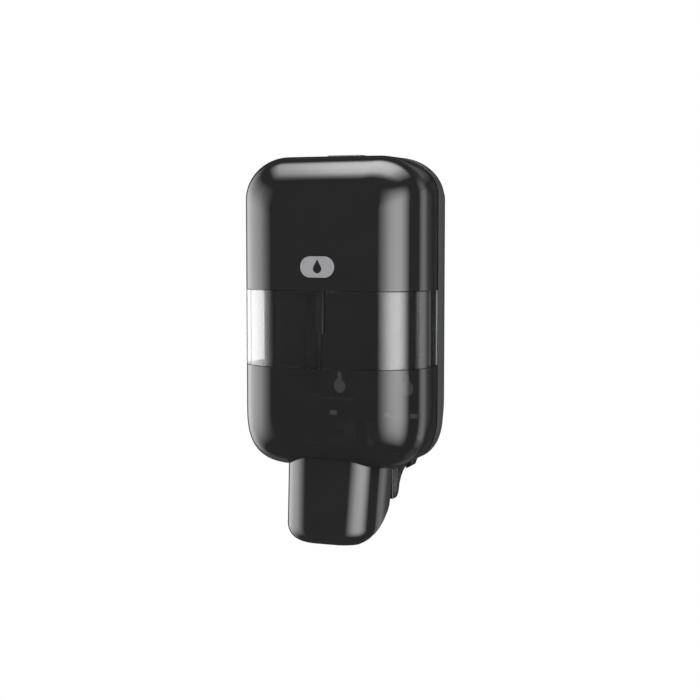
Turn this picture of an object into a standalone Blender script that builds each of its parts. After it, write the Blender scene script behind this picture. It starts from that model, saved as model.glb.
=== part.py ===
"""Wall mounted soap dispenser with a hinged see-through cover and a push lever.

X runs across, Y runs back to the wall and Z up. The wall face is the plane Y = 0, and
the origin lies on it halfway between the two keyholes. Every size is in metres.
"""
from math import asin, cos, degrees, pi, radians, sin

import bmesh
import bpy
from mathutils import Matrix, Vector

# ---- driving dimensions ----------------------------------------------------------
DEPTH = 0.092              # wall face to the front of the cover
COVER_WIDTH = 0.112
COVER_HEIGHT = 0.1805
COVER_BOTTOM = -0.040      # height of the cover's lowest edge
TOP_CORNER = 0.025         # upper corners of the outline, seen from the front
BOTTOM_CORNER = 0.035      # lower corners: longer and fuller than a circle's
BOTTOM_FULLNESS = 3.0      # exponent of their curve, 2 being a circle
FRONT_CORNER_RADIUS = 0.004  # what is left of them on the front face
EDGE_RADIUS = 0.030        # from the front face round to the sides
CROWN = 0.001              # rise of the front face
WALL = 0.0025              # moulded walls
GAP = 0.0003               # between pieces that touch

COVER_DEPTH = 0.0477       # front of the cover to its rear edge
STRIP_DEPTH = 0.0595       # front of the cover to where the housing starts to taper
HOUSING_TAPER = 0.010      # how far the housing has drawn in at the wall
BACK_WALL = 0.004

WINDOW_LOW = 0.0594        # window band, above the cover's bottom
WINDOW_HIGH = 0.1035

KEYHOLE_SPACING = 0.0452
KEYHOLE_HEAD = 0.0094
KEYHOLE_SLOT = 0.0042
KEYHOLE_RISE = 0.0093      # head centre to the top of the slot
KEYHOLE_HEIGHT = 0.040     # head centres above the cover's bottom
SLOTS = ((0.0066, 0.0123), (0.0237, 0.0301))  # ends of the slots beside them, across
SLOT_LOW = 0.0212
SLOT_HIGH = 0.0246
OPENING_REAR = 0.0815      # the opening in the housing's floor, for the lever and the pump
OPENING_TOP = 0.0125

HINGE_DEPTH = 0.0525       # hinge axis, behind the front
HINGE_HEIGHT = 0.004       # above the cover's bottom
KNUCKLE_RADIUS = 0.0033
EAR_INNER = 0.0316         # half the distance between the housing's two hinge ears
EAR_OUTER = 0.0354
EAR_REAR = 0.064           # where an ear runs into the housing's floor
KNUCKLE_INNER = 0.0358     # the cover's lug beside each ear
KNUCKLE_OUTER = 0.0390
HINGE_RELIEF = 0.0067
PIN_RADIUS = 0.0015

LEVER_LEVEL = 0.006        # height at which the lever's plan is measured
LEVER_HALF_WIDTH = 0.0309
LEVER_FRONT = 0.0106       # behind the front of the cover
LEVER_LEAN = 0.127         # how far the front comes forward for each unit of drop
LEVER_TAPER = 1.05         # share of its width that the lever loses for each metre of drop
LEVER_ROUND_WIDTH = 0.023  # the front's rounded ends, across
LEVER_ROUND_DEPTH = 0.025  # and front to back
LEVER_REAR = 0.0408
LEVER_DROP = 0.0443        # below the cover's bottom
LEVER_TOP = 0.014          # hidden top edge, above the cover's bottom
LEVER_CHIN = 0.010         # radius from the front and the sides round to the bottom
LEVER_LIP = 0.0165         # depth at which the turned-in lip ends
LEVER_SLIT = 0.0008        # between the lever and the cover
LEVER_CHEEK = ((LEVER_LIP, -0.0425), (0.0196, -0.0383), (0.0240, -0.0347), (0.0283, -0.0317),
               (0.0354, -0.0267), (0.0382, -0.0235), (0.0394, -0.0190))
PIVOT_DEPTH = 0.020
PIVOT_HEIGHT = 0.040
BRACKET_INNER = 0.0272
BRACKET_OUTER = 0.0300
LEVER_COIL = 0.0032        # radius of the lever's return spring
PUMP_COIL = 0.0048         # and of the plunger's
COIL_WIRE = 0.0009

ARM_INNER = 0.0165         # the two arms of the lever's frame
ARM_OUTER = 0.0195

PUMP_DEPTH = 0.066         # the pump's upright axis
PLUNGER_HEIGHT = 0.010     # the plunger's level axis, above the cover's bottom
PLUNGER_FACE = 0.028       # front of the plunger's cap
PLUNGER_BORE = 0.0045
ROLLER_DEPTH = 0.0237      # axis of the roller that pushes the plunger
ROLLER_RADIUS = 0.0040
LEVER_ROOM = 0.0313        # half width that the swinging lever needs

SHELF_TOP = 0.017          # above the cover's bottom
RAIL_INNER = 0.0312
RAIL_OUTER = 0.0365
RAIL_STEP = 0.073          # the rails are narrower below this height
RAIL_TOP = 0.156
RAIL_THICK = 0.0042
SHELF_THICK = 0.0030
SHELF_HALF = 0.0234        # half width of the shelf in front of the rails
NECK_HOLE = 0.0120
SCREW_X = 0.0339
SCREW_HEIGHTS = (0.150, 0.028)
SCREW_RADIUS = 0.0012
SCREW_HEAD = 0.0012        # thickness of the head

BADGE_WIDTH = 0.0207
BADGE_HEIGHT = 0.0120
BADGE_CENTRE = 0.1173      # above the cover's bottom
DROPLET_RADIUS = 0.0026
DROPLET_TIP = 0.0044       # above the badge's centre

BUTTON_FRONT = 0.0415      # the lock button in the top edge
BUTTON_REAR = 0.0523
BUTTON_HALF = 0.0110
BUTTON_ROOM = 0.0114
BUTTON_FLOOR = 0.172       # bottom of the notch it sits in
SPRING_DEPTH = 0.0506      # the lock spring's upright axis

GUARD_FRONT = 0.0632       # front of the shroud round the pump
GUARD_HALF = 0.0228
GUARD_LEDGE = ((0.0110, 0.0470, 0.0790, 0.0340, 0.0905),  # height, then width and depth
               (0.0000, 0.0400, 0.0760, 0.0290, 0.0895),  # at the corner and at the rear
               (-0.0085, 0.0290, 0.0700, 0.0230, 0.0880))
GUARD_RIBS = ((0.0665, -0.0225), (0.0700, -0.0200), (0.0730, -0.0150))  # depth and reach

CORNER_STEPS = 8
EDGE_STEPS = 6
ROUND_STEPS = 24

HALF_WIDTH = COVER_WIDTH / 2


def at(depth, height, x=0.0):
    """A point from its depth behind the cover's front and height above its bottom."""
    return Vector((x, depth - DEPTH, height + COVER_BOTTOM))


# ---- scene, materials and collections --------------------------------------------
def clear_scene():
    for old in list(bpy.data.objects):
        bpy.data.objects.remove(old, do_unlink=True)


def new_collection(name):
    collection = bpy.data.collections.new(name)
    bpy.context.scene.collection.children.link(collection)
    return collection


def new_material(name, colour, roughness, metallic=0.0, alpha=1.0):
    material = bpy.data.materials.new(name)
    material.use_nodes = True
    shader = material.node_tree.nodes["Principled BSDF"]
    shader.inputs["Base Color"].default_value = (*colour, 1.0)
    shader.inputs["Roughness"].default_value = roughness
    shader.inputs["Metallic"].default_value = metallic
    shader.inputs["Alpha"].default_value = alpha
    return material


clear_scene()
PARTS = new_collection("wall_soap_dispenser")
CUTTERS = new_collection("cutters")
GLOSS_BLACK = new_material("gloss_black", (0.02, 0.02, 0.02), 0.1)
MATT_BLACK = new_material("matt_black", (0.03, 0.03, 0.03), 0.5)
SMOKED = new_material("smoked_clear", (0.025, 0.025, 0.025), 0.08, alpha=0.95)
CLEAR = new_material("clear_plastic", (0.9, 0.9, 0.9), 0.05, alpha=0.3)
SILVER_PRINT = new_material("silver_print", (0.5, 0.5, 0.5), 0.35)
NATURAL = new_material("natural_acetal", (0.75, 0.75, 0.72), 0.4)
STEEL = new_material("bright_steel", (0.6, 0.6, 0.6), 0.25, metallic=1.0)
SEAL_RUBBER = new_material("seal_rubber", (0.02, 0.02, 0.02), 0.8)


# ---- shape helpers ---------------------------------------------------------------
def place(name, bm, material):
    """Turn a bmesh into a part, or into a cutter when it has no material."""
    bmesh.ops.recalc_face_normals(bm, faces=bm.faces)
    mesh = bpy.data.meshes.new(name)
    bm.to_mesh(mesh)
    bm.free()
    piece = bpy.data.objects.new(name, mesh)
    if material is None:
        CUTTERS.objects.link(piece)
        piece.hide_render = True
        piece.display_type = "WIRE"
    else:
        mesh.materials.append(material)
        mesh.shade_smooth()
        mesh.set_sharp_from_angle(angle=radians(32))
        PARTS.objects.link(piece)
    return piece


def skin(bm, rings, cap_start=True, cap_end=True):
    """Faces between rings that all have the same number of points."""
    rows = [[bm.verts.new(point) for point in ring] for ring in rings]
    for lower, upper in zip(rows, rows[1:]):
        for i in range(len(lower)):
            j = (i + 1) % len(lower)
            bm.faces.new((lower[i], lower[j], upper[j], upper[i]))
    if cap_start:
        bm.faces.new(rows[0])
    if cap_end:
        bm.faces.new(rows[-1])
    return rows


def loft(name, rings, material=None):
    bm = bmesh.new()
    skin(bm, rings)
    return place(name, bm, material)


def shell(name, outer, inner, material=None):
    """A cup: both skins start at the rim and end in a closed cap."""
    bm = bmesh.new()
    outside = skin(bm, outer, cap_start=False)
    inside = skin(bm, inner, cap_start=False)
    for i in range(len(outside[0])):
        j = (i + 1) % len(outside[0])
        bm.faces.new((outside[0][i], outside[0][j], inside[0][j], inside[0][i]))
    return place(name, bm, material)


def box(name, low, high, material=None, bevel=0.0):
    """A box between two corners, with optional rounded edges."""
    low, high = Vector(low), Vector(high)
    bm = bmesh.new()
    size = Matrix.Diagonal((*(high - low), 1.0))
    bmesh.ops.create_cube(bm, size=1.0, matrix=Matrix.Translation((low + high) / 2) @ size)
    if bevel:
        bmesh.ops.bevel(bm, geom=bm.edges[:], offset=bevel, segments=3, profile=0.5,
                        affect="EDGES")
    return place(name, bm, material)


def rod(name, start, end, radius, material=None, steps=ROUND_STEPS):
    start, end = Vector(start), Vector(end)
    turn = (end - start).to_track_quat("Z", "X").to_matrix().to_4x4()
    bm = bmesh.new()
    bmesh.ops.create_cone(bm, cap_ends=True, segments=steps, radius1=radius, radius2=radius,
                          depth=(end - start).length,
                          matrix=Matrix.Translation((start + end) / 2) @ turn)
    return place(name, bm, material)


def prism(name, outline, axis, low, high, material=None):
    """An outline extruded along X from (depth, height) points, or along Y from (x, height)."""
    if axis == "X":
        rings = [[at(depth, height, x) for depth, height in outline] for x in (low, high)]
    else:
        rings = [[at(depth, height, x) for x, height in outline] for depth in (low, high)]
    return loft(name, rings, material)


def turned(name, profile, centre, material=None, axis="Z", steps=ROUND_STEPS, closed=False):
    """A profile of (radius, distance along the axis) spun about an axis through centre."""
    mesh = bpy.data.meshes.new(name)
    points = [(radius, 0.0, along) for radius, along in profile]
    edges = [(i, i + 1) for i in range(len(points) - 1)]
    if closed:
        edges.append((len(points) - 1, 0))
    mesh.from_pydata(points, edges, [])
    piece = bpy.data.objects.new(name, mesh)
    piece.location = centre
    if axis == "Y":
        piece.rotation_euler = (radians(-90), 0.0, 0.0)
    if axis == "X":
        piece.rotation_euler = (0.0, radians(90), 0.0)
    spin = piece.modifiers.new("spin", "SCREW")
    spin.steps = spin.render_steps = steps
    spin.use_merge_vertices = True
    spin.merge_threshold = 0.00001
    if material is None:
        CUTTERS.objects.link(piece)
        piece.hide_render = True
        piece.display_type = "WIRE"
    else:
        mesh.materials.append(material)
        PARTS.objects.link(piece)
    return piece


def boolean(piece, other, operation):
    step = piece.modifiers.new(other.name, "BOOLEAN")
    step.operation = operation
    step.object = other
    return piece


def cut(piece, *cutters):
    for cutter in cutters:
        boolean(piece, cutter, "DIFFERENCE")
    return piece


def join(piece, *others):
    for other in others:
        boolean(piece, other, "UNION")
    return piece


def arc(centre, radius, start, end, steps):
    """Points along an arc, angles in degrees."""
    angles = [radians(start + (end - start) * i / steps) for i in range(steps + 1)]
    return [(centre[0] + radius * cos(a), centre[1] + radius * sin(a)) for a in angles]


def corner_curve(reach, fullness, start):
    """A quarter turn of a rounded corner about its centre, from an angle in degrees."""
    points = []
    for i in range(CORNER_STEPS + 1):
        angle = radians(start + 90 * i / CORNER_STEPS)
        x, z = cos(angle), sin(angle)
        size = reach * (abs(x) ** fullness + abs(z) ** fullness) ** (-1 / fullness)
        points.append((size * x, size * z))
    return points


def outline_ring(depth, inset, offset, share=0.0):
    """The cover's outline drawn in by inset, at a depth behind its front.

    Its corners are those of the outer skin less offset, and share brings them from
    there to the small corners of the face.
    """
    points = []
    for x, z, start in ((1, 1, 0), (-1, 1, 90), (-1, -1, 180), (1, -1, 270)):
        reach, fullness = (TOP_CORNER, 2.0) if z > 0 else (BOTTOM_CORNER, BOTTOM_FULLNESS)
        reach = (reach - offset) * (1 - share) + FRONT_CORNER_RADIUS * share
        level = COVER_HEIGHT - inset - reach if z > 0 else inset + reach
        centre = (x * (HALF_WIDTH - inset - reach), level)
        points += [at(depth, centre[1] + up, centre[0] + across)
                   for across, up in corner_curve(reach, fullness, start)]
    return points


def coil(name, start, end, radius, wire, turns, material):
    """A compression spring on a straight axis."""
    start, end = Vector(start), Vector(end)
    turn = (end - start).to_track_quat("Z", "X")
    length = (end - start).length
    steps = int(turns * 10)
    curve = bpy.data.curves.new(name, "CURVE")
    curve.dimensions = "3D"
    curve.bevel_depth = wire / 2
    curve.bevel_resolution = 1
    curve.use_fill_caps = True
    spline = curve.splines.new("POLY")
    spline.points.add(steps)
    for i in range(steps + 1):
        angle = 2 * pi * turns * i / steps
        local = Vector((radius * cos(angle), radius * sin(angle), length * i / steps))
        spline.points[i].co = (*(start + turn @ local), 1.0)
    curve.materials.append(material)
    piece = bpy.data.objects.new(name, curve)
    PARTS.objects.link(piece)
    return piece


# ---- the cover's curved form -----------------------------------------------------
def cover_skin(offset):
    """Rings of the cover's surface from its rear edge to the front, drawn in by offset."""
    edge = EDGE_RADIUS - offset
    rings = [outline_ring(COVER_DEPTH, offset, offset)]
    for i in range(EDGE_STEPS + 1):
        angle = pi / 2 * i / EDGE_STEPS
        share = 1 - cos(angle)
        depth = CROWN + offset + edge * (1 - sin(angle))
        rings.append(outline_ring(depth, offset + edge * share, offset, share))
    half = (HALF_WIDTH - EDGE_RADIUS) / 2
    rings.append(outline_ring(offset + CROWN / 4, EDGE_RADIUS + half, offset, 1.0))
    return rings


def cover_band(name, low, high, material):
    """The cover's shell between two heights above its bottom."""
    piece = shell(name, cover_skin(0.0), cover_skin(WALL), material)
    side = COVER_WIDTH
    band = box(name + "_band", at(-0.01, low, -side), at(0.06, high, side))
    return boolean(piece, band, "INTERSECT")


# ---- rear housing ----------------------------------------------------------------
def housing_skin(offset, rim, end):
    """Rings of the housing's surface from its front rim back to a closed end."""
    taper_length = DEPTH - STRIP_DEPTH
    last = HOUSING_TAPER * (end - STRIP_DEPTH) / taper_length
    return [
        outline_ring(rim, offset, offset),
        outline_ring(STRIP_DEPTH, offset, offset),
        outline_ring(end, offset + last, offset + last),
    ]


def keyhole(name, x):
    """Round head with a slot above it, right through the back wall."""
    head = KEYHOLE_HEAD / 2
    half = KEYHOLE_SLOT / 2
    lean = degrees(asin(half / head))
    outline = arc((x, KEYHOLE_HEIGHT), head, 90 + lean, 450 - lean, 18)
    outline += arc((x, KEYHOLE_HEIGHT + KEYHOLE_RISE - half), half, 0, 180, 8)
    return prism(name, outline, "Y", DEPTH - BACK_WALL - 0.002, DEPTH + 0.002)


def make_rear_housing():
    """Tray against the wall that carries everything else."""
    rim = COVER_DEPTH + GAP
    housing = shell("rear_housing", housing_skin(0.0, rim, DEPTH),
                    housing_skin(WALL, rim, DEPTH - BACK_WALL), MATT_BLACK)
    cut(housing, keyhole("keyhole_left", -KEYHOLE_SPACING / 2),
        keyhole("keyhole_right", KEYHOLE_SPACING / 2))
    for side, tag in ((-1, "left"), (1, "right")):
        for number, (low, high) in enumerate(SLOTS, 1):
            ends = sorted((side * low, side * high))
            cut(housing, box(f"slot_{tag}_{number}",
                             at(DEPTH - 2 * BACK_WALL, SLOT_LOW, ends[0]),
                             at(DEPTH + BACK_WALL, SLOT_HIGH, ends[1])))
        cut(housing, hinge_rod(f"hinge_relief_{tag}", side, 0.026, 0.045, HINGE_RELIEF))
    cut(housing, box("lever_opening", at(COVER_DEPTH - WALL, -WALL, -LEVER_ROOM),
                     at(OPENING_REAR, OPENING_TOP, LEVER_ROOM)),
        box("button_opening", at(COVER_DEPTH - WALL, BUTTON_FLOOR, -BUTTON_ROOM),
            at(BUTTON_REAR + GAP, COVER_HEIGHT + WALL, BUTTON_ROOM)))
    for side, tag in ((-1, "left"), (1, "right")):
        join(housing, make_hinge_ear(side, tag))
        cut(housing, hinge_rod(f"ear_bore_{tag}", side, 0.027, 0.041, PIN_RADIUS + GAP))
    for number, (x, height) in enumerate(screw_places(), 1):
        cut(housing, screw_bore(f"screw_hole_{number}", x, height))
    return housing


def hinge_rod(name, side, low, high, radius):
    """A cutter on the hinge axis, between two distances from the middle."""
    return rod(name, at(HINGE_DEPTH, HINGE_HEIGHT, side * low),
               at(HINGE_DEPTH, HINGE_HEIGHT, side * high), radius)


def screw_bore(name, x, height):
    """A cutter through a rail and into the back wall, blind so that the wall stays closed."""
    return rod(name, at(0.080, height, x), at(DEPTH - 0.0008, height, x), SCREW_RADIUS + GAP,
               steps=16)


def make_hinge_ear(side, tag):
    """Plate that stands forward from the housing's floor and holds a hinge pin."""
    radius = KNUCKLE_RADIUS
    outline = arc((HINGE_DEPTH, HINGE_HEIGHT), radius, 90, 270, 10)
    outline += [(EAR_REAR, HINGE_HEIGHT - radius + 0.0014), (EAR_REAR, HINGE_HEIGHT + radius)]
    ends = sorted((side * EAR_INNER, side * EAR_OUTER))
    return prism(f"hinge_ear_{tag}", outline, "X", ends[0], ends[1])


def make_hinge_pins():
    """Headed pins, each through an ear and the cover's lug beside it."""
    head, top, under, tip = 0.0026, 0.0026, 0.0012, -0.0082
    profile = [(0.0, top), (head, top), (head, under), (PIN_RADIUS, under),
               (PIN_RADIUS, tip), (0.0, tip)]
    for side, tag in ((-1, "left"), (1, "right")):
        centre = at(HINGE_DEPTH, HINGE_HEIGHT, side * (EAR_INNER - PIN_RADIUS))
        pin = turned(f"hinge_pin_{tag}", profile, centre, STEEL, axis="X", steps=16)
        pin.rotation_euler = (0.0, radians(-90 * side), 0.0)


def screw_places():
    """Where the cradle is screwed to the housing: (x, height above the cover's bottom)."""
    return [(side * SCREW_X, height) for height in SCREW_HEIGHTS for side in (-1, 1)]


# ---- refill cradle ---------------------------------------------------------------
def make_refill_cradle():
    """Two upright rails on the back wall, joined at the bottom by the shelf."""
    back = DEPTH - BACK_WALL - GAP
    front = back - RAIL_THICK
    cradle = box("refill_cradle", at(PUMP_DEPTH, SHELF_TOP - SHELF_THICK, -RAIL_OUTER),
                 at(back, SHELF_TOP, RAIL_OUTER), MATT_BLACK)
    join(cradle, box("shelf_front", at(0.0560, SHELF_TOP - SHELF_THICK + 0.0001, -SHELF_HALF),
                     at(PUMP_DEPTH + 0.001, SHELF_TOP - 0.0001, SHELF_HALF)))
    for side, tag in ((-1, "left"), (1, "right")):
        wide = sorted((side * RAIL_INNER, side * RAIL_OUTER))
        narrow = sorted((side * (RAIL_INNER + 0.0022), side * (RAIL_OUTER - 0.0004)))
        join(cradle,
             box(f"rail_foot_{tag}", at(front + 0.0004, SHELF_TOP - 0.001, narrow[0]),
                 at(back - 0.0002, RAIL_STEP + 0.001, narrow[1])),
             box(f"rail_{tag}", at(front, RAIL_STEP, wide[0]), at(back, RAIL_TOP, wide[1])))
    join(cradle, box("shelf_lip", at(0.0562, SHELF_TOP - 2 * SHELF_THICK, -SHELF_HALF + 0.0004),
                     at(0.0580, SHELF_TOP - 0.001, SHELF_HALF - 0.0004)))
    below, above, half = SHELF_TOP - 0.012, SHELF_TOP + 0.013, NECK_HOLE - 0.0001
    cut(cradle, rod("neck_hole", at(PUMP_DEPTH, below), at(PUMP_DEPTH, above), NECK_HOLE),
        box("neck_slot", at(0.050, below, -half), at(PUMP_DEPTH, above, half)))
    for number, (x, height) in enumerate(screw_places(), 1):
        cut(cradle, screw_bore(f"rail_bore_{number}", x, height))
    return cradle


def make_cradle_screws():
    """Domed screws from the rails into the back wall."""
    depth = DEPTH - BACK_WALL - GAP - RAIL_THICK - GAP - SCREW_HEAD
    profile = [(0.0, 0.0), (0.0018, 0.0), (0.0024, -0.0006), (0.0024, -SCREW_HEAD),
               (SCREW_RADIUS, -SCREW_HEAD), (SCREW_RADIUS, -0.0076), (0.0, -0.0084)]
    for number, (x, height) in enumerate(screw_places(), 1):
        screw = turned(f"cradle_screw_{number}", profile, at(depth, height, x), STEEL, steps=16)
        screw.rotation_euler = (radians(90), 0.0, 0.0)


def make_neck_collar():
    """Ring on the shelf that takes the neck of the refill."""
    low, high = SHELF_TOP + GAP, SHELF_TOP + 0.0030
    profile = [(0.0112, high), (0.0150, high), (0.0158, low), (0.0112, low)]
    return turned("neck_collar", [(r, z + COVER_BOTTOM) for r, z in profile],
                  (0.0, PUMP_DEPTH - DEPTH, 0.0), NATURAL, closed=True)


# ---- pump ------------------------------------------------------------------------
def make_pump():
    """Upright pump body under the shelf, with a level plunger that the lever pushes."""
    upright = (0.0, PUMP_DEPTH - DEPTH, COVER_BOTTOM)
    body = turned("pump_body", [
        (0.0, 0.0225), (0.0052, 0.0225), (0.0060, 0.0215), (0.0060, 0.0137), (0.0135, 0.0137),
        (0.0135, 0.0107), (0.0092, 0.0105), (0.0092, -0.0165), (0.0, -0.0165)],
        upright, NATURAL)
    level = at(0.0, PLUNGER_HEIGHT)
    join(body, rod("pump_boss", level + Vector((0, 0.0490, 0)),
                   level + Vector((0, 0.0640, 0)), 0.0062))
    cut(body, rod("pump_bore", level + Vector((0, 0.0470, 0)),
                  level + Vector((0, 0.0705, 0)), PLUNGER_BORE),
        rod("pump_channel", at(PUMP_DEPTH, -0.020), at(PUMP_DEPTH, 0.030), 0.0030, steps=16))
    turned("pump_nozzle", [
        (0.0030, -0.0168), (0.0075, -0.0168), (0.0075, -0.0185), (0.0048, -0.0200),
        (0.0040, -0.0250), (0.0030, -0.0250)], upright, NATURAL, closed=True)
    turned("outlet_valve", [
        (0.0, -0.0185), (0.0024, -0.0185), (0.0024, -0.0200), (0.0006, -0.0240),
        (0.0, -0.0240)], upright, SEAL_RUBBER, steps=16)
    radius = 0.0024
    ball = [(radius * sin(pi * i / 8), 0.0190 + radius * cos(pi * i / 8)) for i in range(9)]
    ball[0] = (0.0, ball[0][1])
    ball[-1] = (0.0, ball[-1][1])
    turned("inlet_ball", ball, upright, STEEL, steps=16)
    face = PLUNGER_FACE
    plunger = [
        (0.0, -face), (0.0066, -face), (0.0078, -face - 0.0010), (0.0078, -face - 0.0025),
        (0.0030, -face - 0.0025), (0.0030, -0.0605), (0.0, -0.0605)]
    piece = turned("pump_plunger", plunger, at(0.0, PLUNGER_HEIGHT), NATURAL)
    piece.rotation_euler = (radians(90), 0.0, 0.0)
    seal = turned("plunger_seal", [
        (0.0033, -0.0560), (0.0042, -0.0560), (0.0042, -0.0578), (0.0033, -0.0578)],
        at(0.0, PLUNGER_HEIGHT), SEAL_RUBBER, closed=True)
    seal.rotation_euler = (radians(90), 0.0, 0.0)
    coil("plunger_spring", at(face + 0.0036, PLUNGER_HEIGHT), at(0.0480, PLUNGER_HEIGHT),
         PUMP_COIL, COIL_WIRE, 6, STEEL)
    return body


def guard_side_view():
    """(depth, height) round the shroud's body: its front, its rounded nose and its back."""
    return [(0.0620, 0.016), (0.0620, -0.0246), (0.0665, -0.0248), (0.0700, -0.0236),
            (0.0728, -0.0212), (0.0748, -0.0174), (0.0774, -0.0121), (0.0829, -0.0095),
            (0.0870, -0.0085), (0.0870, 0.016)]


def make_pump_guard():
    """Ribbed shroud under the housing that keeps fingers off the pump."""
    ledge = [[at(depth, height, x) for x, depth in
              ((wide, 0.060), (-wide, 0.060), (-wide, middle), (-narrow, rear), (narrow, rear),
               (wide, middle))]
             for height, wide, middle, narrow, rear in GUARD_LEDGE]
    guard = loft("pump_guard", ledge, MATT_BLACK)
    join(guard, prism("guard_body", guard_side_view(), "X", -GUARD_HALF, GUARD_HALF))
    for side, tag in ((-1, "left"), (1, "right")):
        ends = sorted((side * (GUARD_HALF - 0.0008), side * (GUARD_HALF + 0.0008)))
        for number, (depth, reach) in enumerate(GUARD_RIBS, 1):
            join(guard, box(f"guard_rib_{tag}_{number}", at(depth, reach, ends[0]),
                            at(depth + 0.0012, -0.0040, ends[1])))
    cut(guard, loft("housing_clearance", housing_skin(-GAP, 0.040, DEPTH + 0.001)),
        box("pump_space", at(0.050, -0.040, -0.0200), at(OPENING_REAR, 0.030, 0.0200)),
        box("guard_front", at(0.040, -0.050, -0.0500), at(GUARD_FRONT, 0.030, 0.0500)))
    for side, tag in ((-1, "left"), (1, "right")):
        ends = sorted((side * (GUARD_HALF + 0.0009), side * LEVER_ROOM))
        cut(guard, box(f"lever_track_{tag}", at(0.050, -0.050, ends[0]),
                       at(0.0830, 0.030, ends[1])))
    return guard


# ---- cover -----------------------------------------------------------------------
def lever_plan(inset, rear, height=LEVER_LEVEL, steps=EDGE_STEPS):
    """The lever's outline seen from above at a height, (x, depth), drawn in by inset."""
    drop = LEVER_LEVEL - height
    half = LEVER_HALF_WIDTH * (1 - LEVER_TAPER * drop) - inset
    front = LEVER_FRONT - LEVER_LEAN * drop + inset
    wide, deep = LEVER_ROUND_WIDTH - inset, LEVER_ROUND_DEPTH - inset
    angles = [pi / 2 * i / steps for i in range(steps, -1, -1)]
    right = [(half - wide + wide * sin(a), front + deep * (1 - cos(a))) for a in angles]
    left = [(-x, depth) for x, depth in reversed(right)]
    return [(half, rear)] + right + left + [(-half, rear)]


def make_cover():
    cover_band("cover_upper", WINDOW_HIGH + GAP / 2, 0.2, GLOSS_BLACK)
    cover_band("cover_window", WINDOW_LOW + GAP / 2, WINDOW_HIGH - GAP / 2, CLEAR)
    lower = cover_band("cover_lower", -0.01, WINDOW_LOW - GAP / 2, SMOKED)
    opening = lever_plan(-LEVER_SLIT, 0.065)
    cut(lower, loft("lever_cutout", [[at(depth, height, x) for x, depth in opening]
                                     for height in (-0.02, LEVER_TOP + 0.0005)]))
    for side, tag in ((-1, "left"), (1, "right")):
        join(lower, make_cover_knuckle(side, tag))
        cut(lower, hinge_rod(f"knuckle_bore_{tag}", side, 0.034, 0.042, PIN_RADIUS + GAP))
    upper = bpy.data.objects["cover_upper"]
    cut(upper, box("button_notch", at(BUTTON_FRONT - 0.0004, BUTTON_FLOOR, -BUTTON_ROOM),
                   at(0.060, COVER_HEIGHT + WALL, BUTTON_ROOM)))


def make_cover_knuckle(side, tag):
    """Lug on the cover's floor that turns on the hinge pin."""
    radius = KNUCKLE_RADIUS - 0.0003
    root = 0.0380
    outline = [(root, 0.0012), (HINGE_DEPTH, HINGE_HEIGHT - radius)]
    outline += arc((HINGE_DEPTH, HINGE_HEIGHT), radius, -90, 90, 10)[1:]
    outline += [(root + 0.005, 0.0090), (root, 0.0060)]
    ends = sorted((side * KNUCKLE_INNER, side * KNUCKLE_OUTER))
    return prism(f"cover_knuckle_{tag}", outline, "X", ends[0], ends[1])


def make_badge():
    """Pill-shaped emblem with a droplet cut out of it."""
    half = BADGE_WIDTH / 2
    radius = BADGE_HEIGHT / 2
    centre = half - radius
    outline = arc((centre, 0), radius, -90, 90, 10) + arc((-centre, 0), radius, 90, 270, 10)
    outline = [(x, z + BADGE_CENTRE) for x, z in outline]
    badge = prism("cover_badge", outline, "Y", -0.00065, -0.00005, SILVER_PRINT)
    droplet = arc((0, -0.0010), DROPLET_RADIUS, 150, 390, 14) + [(0.0, DROPLET_TIP)]
    droplet = [(x, z + BADGE_CENTRE) for x, z in droplet]
    cut(badge, prism("droplet", droplet, "Y", -0.002, 0.002))
    return badge


def make_catch():
    """Tab under the cover's top that the latch closes on."""
    return box("cover_catch", at(0.0385, 0.1693, -0.0080), at(0.0405, 0.1776, 0.0080),
               MATT_BLACK, bevel=0.0004)


def make_lever_mounts():
    """Brackets, pin and return spring of the lever, all carried by the cover."""
    root, waist = 0.0046, 0.0180
    outline = [(root, PIVOT_HEIGHT - 0.007), (waist, PIVOT_HEIGHT - 0.005)]
    outline += arc((PIVOT_DEPTH, PIVOT_HEIGHT), 0.0045, -80, 80, 8)
    outline += [(waist, PIVOT_HEIGHT + 0.005), (root, PIVOT_HEIGHT + 0.007)]
    for side, tag in ((-1, "left"), (1, "right")):
        ends = sorted((side * BRACKET_INNER, side * BRACKET_OUTER))
        bracket = prism(f"lever_bracket_{tag}", outline, "X", ends[0], ends[1], MATT_BLACK)
        cut(bracket, rod(f"bracket_bore_{tag}", at(PIVOT_DEPTH, PIVOT_HEIGHT, side * 0.026),
                         at(PIVOT_DEPTH, PIVOT_HEIGHT, side * 0.032), PIN_RADIUS + GAP))
    tip = BRACKET_OUTER - 0.0004
    rod("lever_pin", at(PIVOT_DEPTH, PIVOT_HEIGHT, -tip), at(PIVOT_DEPTH, PIVOT_HEIGHT, tip),
        PIN_RADIUS, STEEL, steps=16)
    coil("lever_spring", at(PIVOT_DEPTH, PIVOT_HEIGHT, -0.0155),
         at(PIVOT_DEPTH, PIVOT_HEIGHT, -0.0055), LEVER_COIL, COIL_WIRE, 6, STEEL)


# ---- lever -----------------------------------------------------------------------
def scoop(name, inset, top, bottom, rear, material=None):
    """The lever's body from its top to its bottom, drawn in by inset."""
    chin = LEVER_CHIN - inset
    stations = [(top, inset), (bottom + chin, inset)]
    for i in range(1, EDGE_STEPS + 1):
        angle = pi / 2 * i / EDGE_STEPS
        stations.append((bottom + chin * (1 - sin(angle)), inset + chin * (1 - cos(angle))))
    rings = [[at(depth, height, x) for x, depth in lever_plan(drawn_in, rear, height)]
             for height, drawn_in in stations]
    return loft(name, rings, material)


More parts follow.
